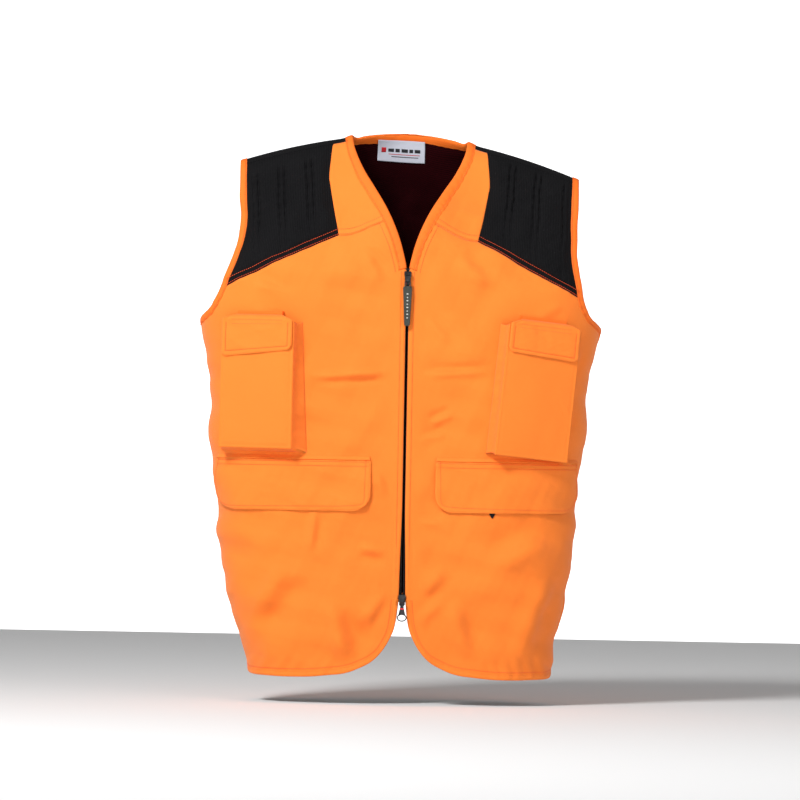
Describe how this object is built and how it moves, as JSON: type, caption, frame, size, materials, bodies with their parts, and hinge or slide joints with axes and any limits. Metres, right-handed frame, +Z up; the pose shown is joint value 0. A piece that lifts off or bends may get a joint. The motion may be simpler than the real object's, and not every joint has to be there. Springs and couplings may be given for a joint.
{
  "type": "sleeveless field vest",
  "caption": "Zip-front sleeveless field vest with padded shoulders, bellows chest pockets, flapped lower pockets and a two-way zip.",
  "frame": {"origin": "between the shoulders, at the height of the neck points on the shoulder line", "axes": "+Z up, -Y forward, +X to the wearer's left"},
  "size_m": [0.5364, 0.1885, 0.7305],
  "materials": {
    "orange_cloth": "matt woven polyester",
    "black_padding": "ribbed quilted",
    "black_cloth": "matt woven",
    "mesh_lining": "fine knitted mesh",
    "zip_plastic": "satin",
    "zip_metal": "satin black",
    "red_plastic": "satin",
    "grey_rubber": "matt",
    "white_label": "woven satin"
  },
  "bodies": {
    "vest": {"armhole_binding_left": "orange_cloth", "armhole_binding_right": "orange_cloth", "back_panel": "orange_cloth", "back_yoke": "black_cloth", "chest_flap_seam_left": "orange_cloth", "chest_flap_seam_right": "orange_cloth", "chest_loop_patch_left": "orange_cloth", "chest_loop_patch_right": "orange_cloth", "chest_pocket_left": "orange_cloth", "chest_pocket_right": "orange_cloth", "front_panel_left": "orange_cloth", "front_panel_right": "orange_cloth", "hem_band_back": "orange_cloth", "hem_band_front_left": "orange_cloth", "hem_band_front_right": "orange_cloth", "lining_back": "mesh_lining", "lining_front_left": "mesh_lining", "lining_front_right": "mesh_lining", "lower_flap_seam_left": "orange_cloth", "lower_flap_seam_right": "orange_cloth", "lower_loop_inner_left": "orange_cloth", "lower_loop_inner_right": "orange_cloth", "lower_loop_outer_left": "orange_cloth", "lower_loop_outer_right": "orange_cloth", "lower_pocket_bag_left": "black_cloth", "lower_pocket_bag_right": "black_cloth", "lower_pocket_tab_left": "black_cloth", "neck_binding": "orange_cloth", "neck_piece_left": "orange_cloth", "neck_piece_right": "orange_cloth", "shoulder_pad_left": "black_padding", "shoulder_pad_right": "black_padding", "zip_coil_left": "zip_plastic", "zip_coil_right": "zip_plastic", "zip_end_pin_left": "zip_metal", "zip_end_pin_right": "zip_metal", "zip_tape_left": "black_cloth", "zip_tape_right": "black_cloth", "zip_top_stop_left": "zip_metal", "zip_top_stop_right": "zip_metal"},
    "zip_slider_top": {"zip_slider_top": "zip_metal"},
    "zip_pull_link": {"zip_pull_link": "zip_metal"},
    "zip_pull_tab": {"zip_pull_tab": "grey_rubber", "zip_pull_rivet": "red_plastic"},
    "zip_slider_bottom": {"zip_slider_bottom": "zip_metal"},
    "zip_pull_ring": {"zip_pull_ring": "zip_metal", "zip_ring_mark": "red_plastic"},
    "neck_label": {"neck_label": "white_label"},
    "chest_flap_left": {"chest_flap_left": "orange_cloth", "chest_hook_patch_left": "orange_cloth"},
    "lower_flap_left": {"lower_flap_left": "orange_cloth", "lower_hook_inner_left": "orange_cloth", "lower_hook_outer_left": "orange_cloth"},
    "chest_flap_right": {"chest_flap_right": "orange_cloth", "chest_hook_patch_right": "orange_cloth"},
    "lower_flap_right": {"lower_flap_right": "orange_cloth", "lower_hook_inner_right": "orange_cloth", "lower_hook_outer_right": "orange_cloth"}
  },
  "joints": [
    {"name": "top_slider_travel", "type": "slide", "parent": "vest", "child": "zip_slider_top", "axis": [0, 0, 1], "range_m": [-0.354, 0]},
    {"name": "pull_link_swing", "type": "hinge", "parent": "zip_slider_top", "child": "zip_pull_link", "pos_m": [0, -0.0879, -0.1721], "axis": [-1, 0, 0], "range_deg": [0, 110]},
    {"name": "pull_tab_swing", "type": "hinge", "parent": "zip_pull_link", "child": "zip_pull_tab", "pos_m": [0, -0.0879, -0.1841], "axis": [-1, 0, 0], "range_deg": [0, 70]},
    {"name": "bottom_slider_travel", "type": "slide", "parent": "vest", "child": "zip_slider_bottom", "axis": [0, 0, 1], "range_m": [0, 0.354]},
    {"name": "pull_ring_swing", "type": "hinge", "parent": "zip_slider_bottom", "child": "zip_pull_ring", "pos_m": [0, -0.0879, -0.61], "axis": [-1, 0, 0], "range_deg": [0, 110]},
    {"name": "neck_label_lift", "type": "hinge", "parent": "vest", "child": "neck_label", "pos_m": [-0.012, 0.0342, 0.0106], "axis": [-1, 0, 0], "range_deg": [0, 85]},
    {"name": "chest_flap_left_lift", "type": "hinge", "parent": "vest", "child": "chest_flap_left", "pos_m": [0.18261, -0.07821, -0.23158], "axis": [-0.9534, -0.286, 0.0958], "range_deg": [0, 90]},
    {"name": "chest_flap_right_lift", "type": "hinge", "parent": "vest", "child": "chest_flap_right", "pos_m": [-0.19569, -0.07823, -0.22848], "axis": [-0.9578, 0.2873, 0.0087], "range_deg": [0, 90]},
    {"name": "lower_flap_left_lift", "type": "hinge", "parent": "vest", "child": "lower_flap_left", "pos_m": [0.137, -0.0852, -0.421], "axis": [-1, 0, 0], "range_deg": [0, 60]},
    {"name": "lower_flap_right_lift", "type": "hinge", "parent": "vest", "child": "lower_flap_right", "pos_m": [-0.146, -0.0852, -0.421], "axis": [-1, 0, 0], "range_deg": [0, 60]}
  ]
}
